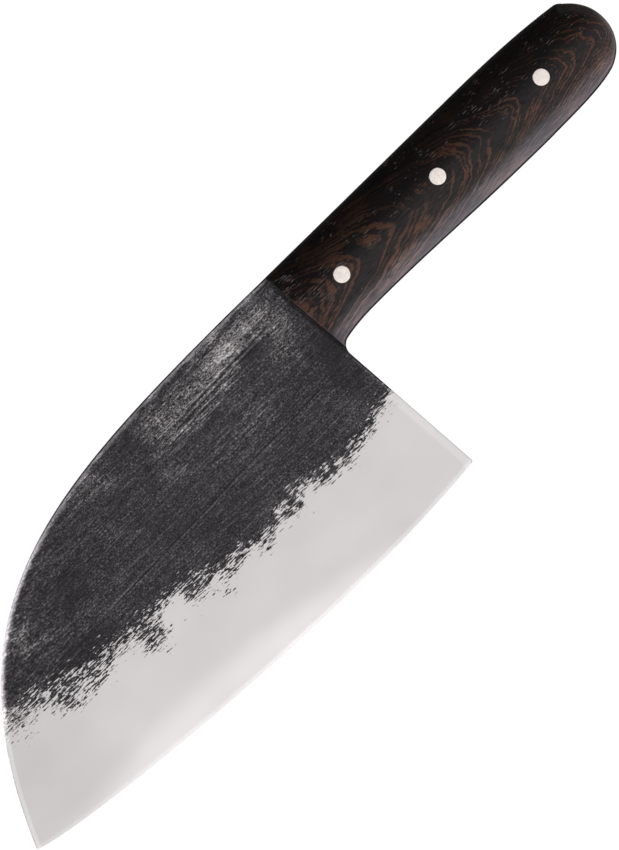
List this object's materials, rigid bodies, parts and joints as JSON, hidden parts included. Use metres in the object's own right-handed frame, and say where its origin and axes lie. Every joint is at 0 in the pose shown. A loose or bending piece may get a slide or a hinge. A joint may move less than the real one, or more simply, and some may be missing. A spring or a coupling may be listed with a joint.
{
  "type": "meat cleaver",
  "caption": "Full-tang forged meat cleaver: deep blade whose spine sweeps down to a low tip, ground edge, and a straight wooden handle pinned through the tang.",
  "frame": {"origin": "centre of the middle handle pin, on the blade's middle plane, in the palm of the grip", "axes": "the blade stands in the XZ plane as it is held at work: +X along the handle towards the butt, so the tip points to -X; +Z towards the spine, so the cutting edge faces -Z; +Y across the thickness, to the right of the hand that holds it"},
  "size_m": [0.3153, 0.02, 0.0912],
  "materials": {
    "forged_steel": "dark forge scale with lengthwise streaks on the upper blade, worn through to satin ground steel in a broad band along the edge",
    "dark_hardwood": "oiled wenge, nearly black with brown cathedral figure and open pores",
    "cured_glue": "dark cured epoxy, sanded flush",
    "pin_steel": "solid pin ends, ground flush and polished"
  },
  "bodies": {
    "root": {"blade_and_tang": "forged_steel", "scale_left": "dark_hardwood", "scale_right": "dark_hardwood", "glue_film_left": "cured_glue", "glue_film_right": "cured_glue", "pin_front": "pin_steel", "pin_middle": "pin_steel", "pin_rear": "pin_steel"}
  },
  "joints": []
}
